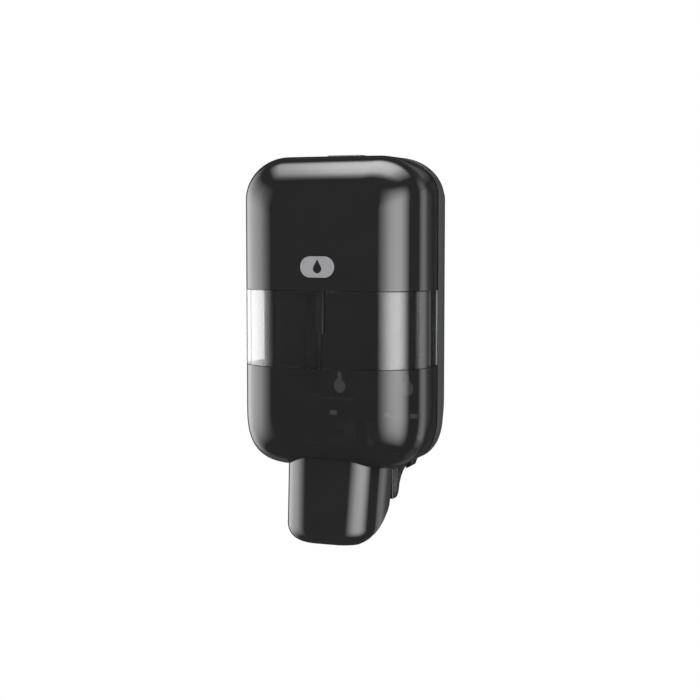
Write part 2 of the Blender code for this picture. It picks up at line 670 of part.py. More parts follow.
def make_push_lever():
    """Scoop below the cover: front, sides and a turned-in lip, open behind and below."""
    lever = scoop("push_lever", 0.0, LEVER_TOP, -LEVER_DROP, LEVER_REAR, GLOSS_BLACK)
    beyond = LEVER_REAR + 0.010
    under = [(LEVER_LIP, -0.060), *LEVER_CHEEK, (LEVER_REAR, -0.008), (beyond, -0.008),
             (beyond, -0.060)]
    above = [(0.030, LEVER_TOP), (0.040, 0.001), (beyond, 0.001), (beyond, 0.020),
             (0.030, 0.020)]
    reach = LEVER_HALF_WIDTH + 0.005
    return cut(lever, scoop("lever_hollow", WALL, 0.030, WALL - LEVER_DROP, beyond),
               prism("lever_under", under, "X", -reach, reach),
               prism("lever_above", above, "X", -reach, reach))


def make_lever_frame():
    """Inner frame of the lever: a plate behind its front, and two arms up to the pivot."""
    front, foot = 0.0190, -0.0180
    arm = [(front, foot), (0.0240, foot), (0.0285, 0.0040), (0.0285, 0.0150)]
    arm += arc((PIVOT_DEPTH, PIVOT_HEIGHT), 0.0045, -20, 170, 10)
    arm += [(0.0170, 0.0230), (front, 0.0170)]
    frame = box("lever_frame", at(front, foot, -ARM_OUTER),
                at(front + 0.0032, 0.0040, ARM_OUTER), MATT_BLACK)
    for side, tag in ((-1, "left"), (1, "right")):
        ends = sorted((side * ARM_INNER, side * ARM_OUTER))
        boss = sorted((side * ARM_INNER, side * (BRACKET_INNER - 0.0006)))
        join(frame, prism(f"lever_arm_{tag}", arm, "X", ends[0], ends[1]),
             rod(f"lever_boss_{tag}", at(PIVOT_DEPTH, PIVOT_HEIGHT, boss[0]),
                 at(PIVOT_DEPTH, PIVOT_HEIGHT, boss[1]), 0.0043))
    reach = 0.03
    cut(frame, rod("frame_bore", at(PIVOT_DEPTH, PIVOT_HEIGHT, -reach),
                   at(PIVOT_DEPTH, PIVOT_HEIGHT, reach), PIN_RADIUS + GAP),
        rod("roller_bore", at(ROLLER_DEPTH, PLUNGER_HEIGHT, -reach),
            at(ROLLER_DEPTH, PLUNGER_HEIGHT, reach), PIN_RADIUS + GAP))
    return frame


def make_pusher_roller():
    """Roller that bears on the plunger's cap."""
    half = ARM_INNER - 0.0005
    tip = ARM_OUTER - 0.0003
    outer, axle = ROLLER_RADIUS, PIN_RADIUS
    profile = [(0.0, tip), (axle, tip), (axle, half), (outer, half),
               (outer, -half), (axle, -half), (axle, -tip), (0.0, -tip)]
    return turned("pusher_roller", profile, at(ROLLER_DEPTH, PLUNGER_HEIGHT), NATURAL,
                  axis="X", steps=20)


# ---- lock ------------------------------------------------------------------------
def make_lock():
    """Button on the top edge, its latch, and the guide and spring below it."""
    button = box("lock_button", at(BUTTON_FRONT, 0.1765, -BUTTON_HALF),
                 at(BUTTON_REAR - 0.0001, 0.1820, BUTTON_HALF), GLOSS_BLACK, bevel=0.0010)
    join(button, box("button_stem", at(0.0494, 0.1570, -0.0036), at(0.0518, 0.1770, 0.0036)))
    latch = box("lock_latch", at(0.0350, 0.1640, -0.0060), at(0.0491, 0.1658, 0.0060), STEEL)
    join(latch, box("latch_tooth", at(0.0350, 0.1650, -0.0060), at(0.0364, 0.1681, 0.0060)))
    guide = box("lock_guide", at(0.0480, 0.1470, -0.0070), at(0.0534, 0.1606, 0.0070),
                MATT_BLACK)
    join(guide, box("guide_arm", at(0.0530, 0.1480, -0.0065), at(0.0877, 0.1530, 0.0065)))
    cut(guide, box("guide_pocket", at(0.0491, 0.1500, -0.0040), at(0.0522, 0.1700, 0.0040)))
    coil("lock_spring", at(SPRING_DEPTH, 0.1507), at(SPRING_DEPTH, 0.1564), 0.0011, 0.0005, 6,
         STEEL)
    return button


# ---- the assembly ----------------------------------------------------------------
make_rear_housing()
make_hinge_pins()
make_refill_cradle()
make_cradle_screws()
make_neck_collar()
make_pump()
make_pump_guard()
make_cover()
make_badge()
make_catch()
make_lever_mounts()
make_push_lever()
make_lever_frame()
make_pusher_roller()
make_lock()
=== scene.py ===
"""The looks of the wall mounted soap dispenser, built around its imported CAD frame.

X runs across, Y back to the wall and Z up, in metres. A depth is measured back from the
front of the cover, and a height up from the cover's bottom.
"""
from math import asin, cos, degrees, pi, radians, sin

import bmesh
import bpy
import numpy as np
from mathutils import Matrix, Vector


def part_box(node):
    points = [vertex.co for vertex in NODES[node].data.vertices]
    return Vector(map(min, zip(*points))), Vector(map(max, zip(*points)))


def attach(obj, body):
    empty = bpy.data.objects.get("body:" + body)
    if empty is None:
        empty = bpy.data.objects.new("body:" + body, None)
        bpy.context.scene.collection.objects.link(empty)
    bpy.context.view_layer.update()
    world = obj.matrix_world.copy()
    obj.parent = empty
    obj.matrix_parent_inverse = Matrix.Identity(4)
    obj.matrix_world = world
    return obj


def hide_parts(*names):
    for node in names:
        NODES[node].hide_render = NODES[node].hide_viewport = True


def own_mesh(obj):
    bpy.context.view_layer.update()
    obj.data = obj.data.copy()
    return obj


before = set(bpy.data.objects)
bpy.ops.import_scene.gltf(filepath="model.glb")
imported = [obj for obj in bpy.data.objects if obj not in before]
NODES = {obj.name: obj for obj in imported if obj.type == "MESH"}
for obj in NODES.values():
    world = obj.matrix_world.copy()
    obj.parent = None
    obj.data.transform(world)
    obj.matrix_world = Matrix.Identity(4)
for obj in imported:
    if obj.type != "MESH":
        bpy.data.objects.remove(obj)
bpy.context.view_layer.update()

# ---- places taken from the frame -------------------------------------------------
WINDOW_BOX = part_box("cover_window")
UPPER_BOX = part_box("cover_upper")
HOUSING_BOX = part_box("rear_housing")
LEVER_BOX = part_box("push_lever")
BADGE_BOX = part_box("cover_badge")

FACE_DEPTH = 0.00025       # middle of the face, behind the front of the cover
COVER_HEIGHT = 0.1805
HALF_WIDTH = UPPER_BOX[1].x
FRONT = WINDOW_BOX[0].y - FACE_DEPTH
BOTTOM = UPPER_BOX[1].z - COVER_HEIGHT
DEPTH = HOUSING_BOX[1].y - FRONT
COVER_DEPTH = UPPER_BOX[1].y - FRONT
WINDOW_LOW = WINDOW_BOX[0].z - BOTTOM
WINDOW_HIGH = WINDOW_BOX[1].z - BOTTOM

# ---- sizes of the cover and the housing ------------------------------------------
GAP = 0.0003               # between pieces that touch
WALL = 0.0025
TOP_CORNER = (0.0275, 0.0235, 1.95)      # corners seen from the front: reach across, reach
BOTTOM_CORNER = (0.0345, 0.0355, 2.95)   # up and fullness, 2 being a circle's
FACE_CORNER = 0.004        # what is left of them where the face begins
EDGE_ACROSS = 0.030        # the rounded edge between face and sides: share of the width
EDGE_DEEP = 0.025          # and of the depth
CROWN_RADIUS = 0.340       # the face is slightly curved from side to side
CROWN = 0.5 / CROWN_RADIUS
FACE_SLIT = 0.0005         # half width of the slit that the face's rings close to
COVER_REAR_ROUND = 0.0007  # the two rounded rims on either side of the seam
HOUSING_RIM_ROUND = 0.0006
GROOVE_DEEP = 0.0019       # shadow groove in the housing, just behind the cover
GROOVE_WIDE = 0.0015
STRIP_DEPTH = 0.0595       # where the housing starts to taper
HOUSING_TAPER = 0.010
BACK_WALL = 0.004
EAR_INNER = 0.0316
EAR_THICK = 0.0038
KNUCKLE_START = 0.0042     # the knuckle's two faces, out from the ear's inner face
KNUCKLE_END = 0.0074
HINGE_DEPTH = 0.0525
HINGE_HEIGHT = 0.004
HINGE_RELIEF = 0.0067
KNUCKLE_RADIUS = 0.0033
PIN_RADIUS = 0.0015
KEYHOLE_SPACING = 0.0452
KEYHOLE_HEAD = 0.0094
KEYHOLE_SLOT = 0.0042
KEYHOLE_RISE = 0.0093
KEYHOLE_HEIGHT = 0.040
SLOTS_ACROSS = ((0.0066, 0.0123), (0.0237, 0.0301))   # small openings low in the back wall
SLOT_HEIGHTS = (0.0212, 0.0246)
SCREW_X = 0.0339
SCREW_HEIGHTS = (0.150, 0.028)
SCREW_HOLE = 0.0015
LEVER_ROOM = 0.0313        # half widths of the openings for the lever, the button and the pump
BUTTON_ROOM = 0.0114
PUMP_ROOM = 0.0200
BUTTON_FRONT = 0.0411      # depths at which those openings start or end
BUTTON_REAR = 0.0526
PUMP_REAR = 0.0815
LEVER_TRACK_REAR = 0.0830
TOP_CUT = (0.172, 0.190)   # heights that take in the top wall, the floor or all the shroud
FLOOR_CUT = (-0.005, 0.0125)
SHROUD_CUT = (-0.050, 0.030)
CUT_FRONT = 0.040          # a depth in front of the housing

# ---- sizes of the lever ----------------------------------------------------------
LEVER_LEVEL = 0.006
LEVER_HALF_WIDTH = 0.0309
LEVER_FRONT = 0.0106
LEVER_LEAN = 0.127
LEVER_TAPER = 1.05
LEVER_ROUND_WIDTH = 0.023
LEVER_ROUND_DEPTH = 0.025
LEVER_CHIN = 0.010
LEVER_LIP = 0.0165
LEVER_SLIT = 0.0008
LEVER_REAR = LEVER_BOX[1].y - FRONT
LEVER_TOP = LEVER_BOX[1].z - BOTTOM
LEVER_DROP = BOTTOM - LEVER_BOX[0].z
LEVER_CHEEK = ((LEVER_LIP, -0.0425), (0.0196, -0.0383), (0.0240, -0.0347), (0.0283, -0.0317),
               (0.0354, -0.0267), (0.0382, -0.0235), (0.0394, -0.0190))

# ---- sizes of the shroud round the pump ------------------------------------------
GUARD_FRONT = 0.0632
GUARD_HALF = 0.0231
GUARD_SKIRT = ((0.0110, 0.0400, 0.0720, 0.0320, 0.0905),   # height, then width and depth
               (-0.0034, 0.0349, 0.0705, 0.0280, 0.0895),  # at the corner and at the rear
               (-0.0060, 0.0304, 0.0650, 0.0240, 0.0885))
GUARD_RIBS = (((0.0655, -0.0060), (0.0655, -0.0225)), ((0.0700, -0.0060), (0.0672, -0.0215)),
              ((0.0745, -0.0060), (0.0700, -0.0170)))        # each from its top to its end
RIB_WIDE = 0.0009
RIB_SUNK = 0.0006          # how far a rib goes into the shroud's side and stands out of it
RIB_STANDS = 0.0007
LEVER_TRACK_START = GUARD_HALF + 0.0009

# ---- the emblem ------------------------------------------------------------------
BADGE_UNDER = 0.0006       # depths of its underside, its face and its raised rim
BADGE_FACE = -0.00010
BADGE_RIM = -0.00025
BADGE_RIM_WIDE = 0.0007
BADGE_SLOPE = 0.0001       # from the rim down to the face
DROP_RADIUS = 0.0026
DROP_LOW = 0.0010          # centre of the droplet's round end, below the emblem's middle
DROP_TIP = 0.0044          # and its tip, above

# ---- mesh density ----------------------------------------------------------------
CORNER_STEPS = 20
EDGE_STEPS = 32
STRAIGHT_STEPS = 14
FACE_STEPS = 8
RIM_STEPS = 6
ROUND_STEPS = 48
LEVER_STEPS = 20
SHARP_ANGLE = 32           # degrees at which an edge is rounded, not smoothed over


def at(depth, height, x=0.0):
    """A point from its depth behind the cover's front and height above its bottom."""
    return Vector((x, FRONT + depth, BOTTOM + height))


# ---- materials -------------------------------------------------------------------
PLASTIC_IOR = 1.5


def new_material(name):
    """A material with its nodes, its links and its main shader."""
    material = bpy.data.materials.new(name)
    material.use_nodes = True
    shader = material.node_tree.nodes["Principled BSDF"]
    return material, material.node_tree.nodes, material.node_tree.links, shader


def noise(nodes, links, scale, detail=2.0, stretch=None):
    """Noise over the object's own coordinates, scale in waves per metre."""
    coordinates = nodes.new("ShaderNodeTexCoord")
    texture = nodes.new("ShaderNodeTexNoise")
    texture.inputs["Scale"].default_value = scale
    texture.inputs["Detail"].default_value = detail
    source = coordinates.outputs["Object"]
    if stretch is not None:
        mapping = nodes.new("ShaderNodeMapping")
        mapping.inputs["Scale"].default_value = stretch
        links.new(source, mapping.inputs["Vector"])
        source = mapping.outputs["Vector"]
    links.new(source, texture.inputs["Vector"])
    return texture.outputs["Fac"]


def spread(nodes, links, factor, low, high):
    """Noise values brought to lie between low and high."""
    mapped = nodes.new("ShaderNodeMapRange")
    mapped.inputs["From Min"].default_value = 0.3
    mapped.inputs["From Max"].default_value = 0.7
    mapped.inputs["To Min"].default_value = low
    mapped.inputs["To Max"].default_value = high
    links.new(factor, mapped.inputs["Value"])
    return mapped.outputs["Result"]


def tint(nodes, links, factor, dark, light):
    """A colour that wanders between two colours."""
    ramp = nodes.new("ShaderNodeValToRGB")
    ramp.color_ramp.elements[0].position = 0.3
    ramp.color_ramp.elements[1].position = 0.7
    ramp.color_ramp.elements[0].color = (*dark, 1.0)
    ramp.color_ramp.elements[1].color = (*light, 1.0)
    links.new(factor, ramp.inputs["Fac"])
    return ramp.outputs["Color"]


def relief(nodes, links, shader, height, depth):
    """Bump of a real depth in metres."""
    bump = nodes.new("ShaderNodeBump")
    bump.inputs["Distance"].default_value = depth
    links.new(height, bump.inputs["Height"])
    links.new(bump.outputs["Normal"], shader.inputs["Normal"])


def moulded(name, dark, light, gloss, grain, grain_depth, patch=60.0):
    """Moulded plastic: colour in slow patches, uneven gloss and a fine surface grain."""
    material, nodes, links, shader = new_material(name)
    patches = noise(nodes, links, patch)
    links.new(tint(nodes, links, patches, dark, light), shader.inputs["Base Color"])
    fine = noise(nodes, links, grain, detail=4.0)
    links.new(spread(nodes, links, noise(nodes, links, patch * 2.3), *gloss),
              shader.inputs["Roughness"])
    relief(nodes, links, shader, fine, grain_depth)
    return material, shader


def blend(nodes, links, factor, first, second, kind="FLOAT"):
    """What goes from first to second with the factor; each is a value or an output."""
    mixed = nodes.new("ShaderNodeMix")
    mixed.data_type = kind
    links.new(factor, mixed.inputs["Factor"])
    for name, value in (("A", first), ("B", second)):
        if isinstance(value, bpy.types.NodeSocket):
            links.new(value, mixed.inputs[name])
        else:
            mixed.inputs[name].default_value = value
    return mixed.outputs["Result"]


def math_node(nodes, links, operation, first, second=0.0):
    """A sum on one output, with another output or a number."""
    node = nodes.new("ShaderNodeMath")
    node.operation = operation
    links.new(first, node.inputs[0])
    if isinstance(second, float):
        node.inputs[1].default_value = second
    else:
        links.new(second, node.inputs[1])
    return node.outputs["Value"]


def mix_shaders(nodes, links, share, first, second):
    """Two shaders mixed by the second's share, a number or an output."""
    mix = nodes.new("ShaderNodeMixShader")
    if isinstance(share, float):
        mix.inputs["Fac"].default_value = share
    else:
        links.new(share, mix.inputs["Fac"])
    links.new(first, mix.inputs[1])
    links.new(second, mix.inputs[2])
    return mix.outputs["Shader"]


def own_axes(nodes, links):
    """The object's own coordinates, as outputs named X, Y and Z."""
    coordinates = nodes.new("ShaderNodeTexCoord")
    split = nodes.new("ShaderNodeSeparateXYZ")
    links.new(coordinates.outputs["Object"], split.inputs["Vector"])
    return split.outputs


def step_up(nodes, links, value, level):
    """Nought below a level in metres and one above it."""
    edge = nodes.new("ShaderNodeMapRange")
    edge.inputs["From Min"].default_value = level
    edge.inputs["From Max"].default_value = level + 0.0002
    links.new(value, edge.inputs["Value"])
    return edge.outputs["Result"]


def make_gloss_black():
    """High-gloss black moulding with the slight waviness of a polished tool."""
    material, shader = moulded(
        "gloss_black_plastic", (0.0185, 0.0187, 0.0192), (0.0205, 0.0206, 0.0208),
        (0.035, 0.060), 160.0, 0.000002)
    shader.inputs["IOR"].default_value = PLASTIC_IOR
    return material


def make_matt_black():
    """Spark-eroded black moulding."""
    material, shader = moulded(
        "matt_black_plastic", (0.021, 0.021, 0.022), (0.027, 0.027, 0.028),
        (0.45, 0.52), 2600.0, 0.00003)
    shader.inputs["Specular IOR Level"].default_value = 0.42
    return material


def make_housing_black():
    """The same moulding, with the groove behind the cover painted near black as shade, and a
    polished rim.
    """
    material = make_matt_black()
    material.name = "housing_black_plastic"
    nodes, links = material.node_tree.nodes, material.node_tree.links
    shader = nodes["Principled BSDF"]
    back = own_axes(nodes, links)["Y"]
    groove_end = FRONT + COVER_DEPTH + GAP + GROOVE_WIDE
    wall_margin = 0.00005
    past_groove = step_up(nodes, links, back, groove_end + wall_margin)
    past_rim = step_up(nodes, links, back, groove_end + HOUSING_RIM_ROUND)
    roughness = shader.inputs["Roughness"].links[0].from_socket
    colour = shader.inputs["Base Color"].links[0].from_socket
    mirror_share = shader.inputs["Specular IOR Level"].default_value
    # painted shade: in the groove the colour and the mirror share drop to near black, standing in
    # for the groove's shadow
    dark, polished = 0.002, 0.16
    links.new(blend(nodes, links, past_rim, polished, roughness), shader.inputs["Roughness"])
    links.new(blend(nodes, links, past_groove, (dark, dark, dark, 1.0), colour, "RGBA"),
              shader.inputs["Base Color"])
    links.new(blend(nodes, links, past_groove, dark, mirror_share),
              shader.inputs["Specular IOR Level"])
    return material


def make_satin_black():
    """Black moulding with a satin skin, whose edges catch the light."""
    material, shader = moulded(
        "satin_black_plastic", (0.012, 0.012, 0.0125), (0.018, 0.018, 0.0185),
        (0.08, 0.12), 900.0, 0.000002)
    shader.inputs["IOR"].default_value = PLASTIC_IOR
    bump = shader.inputs["Normal"].links[0].from_node
    rounded = material.node_tree.nodes.new("ShaderNodeBevel")
    rounded.samples = 8
    rounded.inputs["Radius"].default_value = 0.0015
    material.node_tree.links.new(rounded.outputs["Normal"], bump.inputs["Normal"])
    return material


def frosted_rim(nodes, links):
    """One on the window's ground rear edges, nought elsewhere."""
    axes = own_axes(nodes, links)
    across = math_node(nodes, links, "ABSOLUTE", axes["X"])
    width = 0.0010
    rear = step_up(nodes, links, axes["Y"], FRONT + COVER_DEPTH - width)
    skin_only = step_up(nodes, links, across, HALF_WIDTH - width)
    return math_node(nodes, links, "MULTIPLY", rear, skin_only)


def make_clear_window():
    """Clear polished window: it mirrors by angle, and is nearly clear straight on."""
    material, nodes, links, shader = new_material("clear_window_plastic")
    shader.inputs["Base Color"].default_value = (0.98, 0.985, 0.985, 1.0)
    shader.inputs["Metallic"].default_value = 1.0
    rim = frosted_rim(nodes, links)
    polish = spread(nodes, links, noise(nodes, links, 140.0), 0.02, 0.05)
    links.new(math_node(nodes, links, "MAXIMUM", polish,
                        math_node(nodes, links, "MULTIPLY", rim, 0.55)),
              shader.inputs["Roughness"])
    relief(nodes, links, shader, noise(nodes, links, 90.0), 0.000002)
    clear = nodes.new("ShaderNodeBsdfTransparent")
    clear.inputs["Color"].default_value = (0.87, 0.87, 0.87, 1.0)
    outside, inside = nodes.new("ShaderNodeFresnel"), nodes.new("ShaderNodeFresnel")
    outside.inputs["IOR"].default_value = PLASTIC_IOR
    inside.inputs["IOR"].default_value = 1 / PLASTIC_IOR
    side = nodes.new("ShaderNodeNewGeometry")
    by_angle = blend(nodes, links, side.outputs["Backfacing"], outside.outputs["Fac"],
                     inside.outputs["Fac"])
    gloss_share = math_node(nodes, links, "MAXIMUM", by_angle,
                            math_node(nodes, links, "MULTIPLY", rim, 0.85))
    haze = nodes.new("ShaderNodeBsdfDiffuse")
    haze.inputs["Color"].default_value = (0.98, 0.98, 0.98, 1.0)
    veiled = mix_shaders(nodes, links, 0.007, clear.outputs["BSDF"], haze.outputs["BSDF"])
    pane = mix_shaders(nodes, links, gloss_share, veiled, shader.outputs["BSDF"])
    links.new(pane, nodes["Material Output"].inputs["Surface"])
    return material


def make_smoked():
    """Very dark see-through plastic: glossy, and its outer skin lets a little through."""
    material, shader = moulded(
        "smoked_plastic", (0.0170, 0.0172, 0.0175), (0.0186, 0.0187, 0.0190),
        (0.035, 0.060), 160.0, 0.000002)
    nodes, links = material.node_tree.nodes, material.node_tree.links
    shader.inputs["IOR"].default_value = PLASTIC_IOR
    clear = nodes.new("ShaderNodeBsdfTransparent")
    side = nodes.new("ShaderNodeNewGeometry")
    body = nodes.new("ShaderNodeMapRange")
    body.inputs["To Min"].default_value = 0.97
    body.inputs["To Max"].default_value = 0.0
    links.new(side.outputs["Backfacing"], body.inputs["Value"])
    smoke = mix_shaders(nodes, links, body.outputs["Result"], clear.outputs["BSDF"],
                        shader.outputs["BSDF"])
    links.new(smoke, nodes["Material Output"].inputs["Surface"])
    return material


def make_silver_print():
    """Silver ink on a smooth pad: fine flakes and a satin sheen."""
    material, nodes, links, shader = new_material("silver_print_ink")
    flakes = noise(nodes, links, 5200.0, detail=3.0)
    links.new(tint(nodes, links, flakes, (0.25, 0.25, 0.26), (0.40, 0.40, 0.41)),
              shader.inputs["Base Color"])
    links.new(spread(nodes, links, noise(nodes, links, 900.0), 0.30, 0.42),
              shader.inputs["Roughness"])
    relief(nodes, links, shader, flakes, 0.000006)
    return material


def make_acetal():
    """Natural acetal: milky, slightly translucent, with faint flow marks."""
    material, shader = moulded(
        "natural_acetal_plastic", (0.70, 0.70, 0.66), (0.80, 0.80, 0.77),
        (0.30, 0.42), 1500.0, 0.000012, patch=90.0)
    shader.inputs["Subsurface Weight"].default_value = 0.15
    shader.inputs["Subsurface Scale"].default_value = 0.002
    return material


def make_steel():
    """Drawn stainless steel with fine lengthwise marks."""
    material, nodes, links, shader = new_material("drawn_steel")
    shader.inputs["Metallic"].default_value = 1.0
    marks = noise(nodes, links, 900.0, detail=4.0, stretch=(1.0, 0.12, 1.0))
    links.new(tint(nodes, links, marks, (0.46, 0.46, 0.47), (0.66, 0.66, 0.66)),
              shader.inputs["Base Color"])
    links.new(spread(nodes, links, marks, 0.18, 0.34), shader.inputs["Roughness"])
    relief(nodes, links, shader, marks, 0.000008)
    return material


def make_rubber():
    """Soft black seal rubber with a dusty bloom."""
    material, _ = moulded(
        "seal_rubber_black", (0.014, 0.014, 0.014), (0.030, 0.030, 0.029),
        (0.65, 0.85), 1900.0, 0.00003, patch=240.0)
    return material


GLOSS_BLACK = make_gloss_black()
MATT_BLACK = make_matt_black()
HOUSING_BLACK = make_housing_black()
SATIN_BLACK = make_satin_black()
CLEAR_WINDOW = make_clear_window()
SMOKED = make_smoked()
SILVER_PRINT = make_silver_print()
ACETAL = make_acetal()
STEEL = make_steel()
RUBBER = make_rubber()


# ---- mesh helpers ----------------------------------------------------------------
def new_object(name, bm):
    """An object from a mesh in the making, its doubled points merged."""
    bmesh.ops.remove_doubles(bm, verts=bm.verts, dist=0.000002)
    bmesh.ops.recalc_face_normals(bm, faces=bm.faces)
    mesh = bpy.data.meshes.new(name)
    bm.to_mesh(mesh)
    bm.free()
    piece = bpy.data.objects.new(name, mesh)
    bpy.context.scene.collection.objects.link(piece)
    return piece


def skin(bm, rings, cap_start=True, cap_end=True):
    """Faces between rings that all have the same number of points."""
    rows = [[bm.verts.new(point) for point in ring] for ring in rings]
    for lower, upper in zip(rows, rows[1:]):
        for i in range(len(lower)):
            j = (i + 1) % len(lower)
            bm.faces.new((lower[i], lower[j], upper[j], upper[i]))
    if cap_start:
        bm.faces.new(rows[0])
    if cap_end:
        bm.faces.new(rows[-1])
    return rows


def loft(name, rings):
    """A closed solid through rings of points."""
    bm = bmesh.new()
    skin(bm, rings)
    return new_object(name, bm)


def shell_mesh(outer, inner):
    """A cup: both skins start at the rim and end in a closed cap."""
    bm = bmesh.new()
    outside = skin(bm, outer, cap_start=False)[0]
    inside = skin(bm, inner, cap_start=False)[0]
    for i in range(len(outside)):
        j = (i + 1) % len(outside)
        bm.faces.new((outside[i], outside[j], inside[j], inside[i]))
    return bm


def block(name, depths, heights, across):
    """A box between two depths, two heights and two places across."""
    low, high = (at(*corner) for corner in zip(depths, heights, across))
    bm = bmesh.new()
    size = Matrix.Diagonal((*(high - low), 1.0))
    bmesh.ops.create_cube(bm, size=1.0, matrix=Matrix.Translation((low + high) / 2) @ size)
    return new_object(name, bm)


def rod(name, start, end, radius, steps=ROUND_STEPS):
    """A cylinder between two points."""
    turn = (end - start).to_track_quat("Z", "X").to_matrix().to_4x4()
    bm = bmesh.new()
    bmesh.ops.create_cone(bm, cap_ends=True, segments=steps, radius1=radius, radius2=radius,
                          depth=(end - start).length,
                          matrix=Matrix.Translation((start + end) / 2) @ turn)
    return new_object(name, bm)


def hinge_rod(name, side, near, far, radius):
    """A cylinder on the cover's hinge line, left or right, between two places across."""
    return rod(name, at(HINGE_DEPTH, HINGE_HEIGHT, side * near),
               at(HINGE_DEPTH, HINGE_HEIGHT, side * far), radius)


def mirrored(side, near, far):
    """Two places across, left or right of the middle, the lower one first."""
    return sorted((side * near, side * far))


def prism(name, outline, axis, low, high):
    """An outline extruded along X from (depth, height) points, or along Y from (x, height)."""
    if axis == "X":
        rings = [[at(depth, height, x) for depth, height in outline] for x in (low, high)]
    else:
        rings = [[at(depth, height, x) for x, height in outline] for depth in (low, high)]
    return loft(name, rings)


def arc(centre, radius, start, end, steps):
    """Points along an arc, angles in degrees."""
    angles = [radians(start + (end - start) * i / steps) for i in range(steps + 1)]
    return [(centre[0] + radius * cos(a), centre[1] + radius * sin(a)) for a in angles]


def carve(piece, steps):
    """Apply (operation, helper) pairs to a piece in turn and drop the helpers."""
    for operation, helper in steps:
        modifier = piece.modifiers.new(helper.name, "BOOLEAN")
        modifier.operation = operation
        modifier.object = helper
    graph = bpy.context.evaluated_depsgraph_get()
    mesh = bpy.data.meshes.new_from_object(piece.evaluated_get(graph))
    piece.modifiers.clear()
    piece.data = mesh
    for _, helper in steps:
        bpy.data.objects.remove(helper, do_unlink=True)
    bm = bmesh.new()
    bm.from_mesh(mesh)
    bmesh.ops.remove_doubles(bm, verts=bm.verts, dist=0.00001)
    bmesh.ops.dissolve_degenerate(bm, edges=bm.edges, dist=0.000005)
    bm.to_mesh(mesh)
    bm.free()


def soften(piece, width, segments=2):
    """Small rounded edges, as a mould leaves them."""
    bevel = piece.modifiers.new("rounded_edges", "BEVEL")
    bevel.width = width
    bevel.segments = segments
    bevel.limit_method = "ANGLE"
    bevel.angle_limit = radians(SHARP_ANGLE)
    bevel.harden_normals = True


def finish_piece(piece, material, body, nodes, edge=0.0, segments=2):
    """Material, smooth shading, rounded edges, the body to ride on and the nodes it stands for."""
    piece.data.materials.clear()
    piece.data.materials.append(material)
    piece.data.shade_smooth()
    piece.data.set_sharp_from_angle(angle=radians(SHARP_ANGLE))
    if edge:
        soften(piece, edge, segments)
    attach(piece, body)
    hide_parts(*nodes)
    return piece


# ---- the cover -------------------------------------------------------------------
def corner_curve(centre, across, up, fullness, start):
    """A quarter turn of a rounded corner from an angle in degrees, as (x, height)."""
    points = []
    for i in range(CORNER_STEPS + 1):
        angle = radians(start + 90 * i / CORNER_STEPS)
        x, z = cos(angle), sin(angle)
        size = (abs(x) ** fullness + abs(z) ** fullness) ** (-1 / fullness)
        points.append((centre[0] + across * size * x, centre[1] + up * size * z))
    return points


def outline(inset, offset, share=0.0, least=FACE_CORNER):
    """The cover's outline drawn in by inset, as (x, height).

    Its corners are those of the outer skin less offset, and share brings them from there
    to the least. The level sides are divided, to follow the crown.
    """
    points = []
    for x, z, start in ((1, 1, 0), (-1, 1, 90), (-1, -1, 180), (1, -1, 270)):
        across, up, fullness = TOP_CORNER if z > 0 else BOTTOM_CORNER
        across = (across - offset) * (1 - share) + least * share
        up = (up - offset) * (1 - share) + least * share
        height = COVER_HEIGHT - inset - up if z > 0 else inset + up
        centre = (x * (HALF_WIDTH - inset - across), height)
        points += corner_curve(centre, across, up, fullness, start)
        if start in (0, 180):
            level = points[-1][1]
            points += [(centre[0] * (1 - 2 * i / STRAIGHT_STEPS), level)
                       for i in range(1, STRAIGHT_STEPS)]
    return points


def cover_ring(depth, points, crown=CROWN):
    """Points at a depth, which follow the crown from side to side."""
    return [at(depth + crown * x * x, height, x) for x, height in points]


def rim_round(radius):
    """(setback, inset) steps round a rim, from its end to its side."""
    angles = [pi / 2 * (1 - i / RIM_STEPS) for i in range(RIM_STEPS + 1)]
    return [(radius * (1 - sin(angle)), radius * (1 - cos(angle))) for angle in angles]


def cover_rings(offset, rear_round=0.0):
    """The cover's surface, drawn in by offset, from its rear edge to the middle of its face."""
    across, deep = EDGE_ACROSS - offset, EDGE_DEEP - offset
    rings = []
    for setback, inset in rim_round(rear_round) if rear_round else [(0.0, 0.0)]:
        points = outline(offset + inset, offset + inset)
        rings.append(cover_ring(COVER_DEPTH - setback, points, crown=0.0))
    for i in range(EDGE_STEPS + 1):
        angle = pi / 2 * i / EDGE_STEPS
        share = 1 - cos(angle)
        depth = FACE_DEPTH + offset + deep * (1 - sin(angle))
        rings.append(cover_ring(depth, outline(offset + across * share, offset, share)))
    for i in range(1, FACE_STEPS + 1):
        share = i / FACE_STEPS
        inset = EDGE_ACROSS + (HALF_WIDTH - FACE_SLIT - EDGE_ACROSS) * share
        least = FACE_CORNER + (0.8 * FACE_SLIT - FACE_CORNER) * share
        points = outline(inset, offset, share=1.0, least=least)
        rings.append(cover_ring(FACE_DEPTH + offset, points))
    return rings


def cover_part(name, low, high):
    """The cover's shell between two heights, its cut ends closed."""
    bm = shell_mesh(cover_rings(0.0, COVER_REAR_ROUND), cover_rings(WALL))
    for height, side in ((high, 1), (low, -1)):
        geometry = bm.verts[:] + bm.edges[:] + bm.faces[:]
        result = bmesh.ops.bisect_plane(bm, geom=geometry, plane_co=at(0, height),
                                        plane_no=(0, 0, side), clear_outer=True)
        edges = [e for e in result["geom_cut"] if isinstance(e, bmesh.types.BMEdge)]
        if edges:
            bmesh.ops.edgeloop_fill(bm, edges=edges)
    return new_object(name, bm)


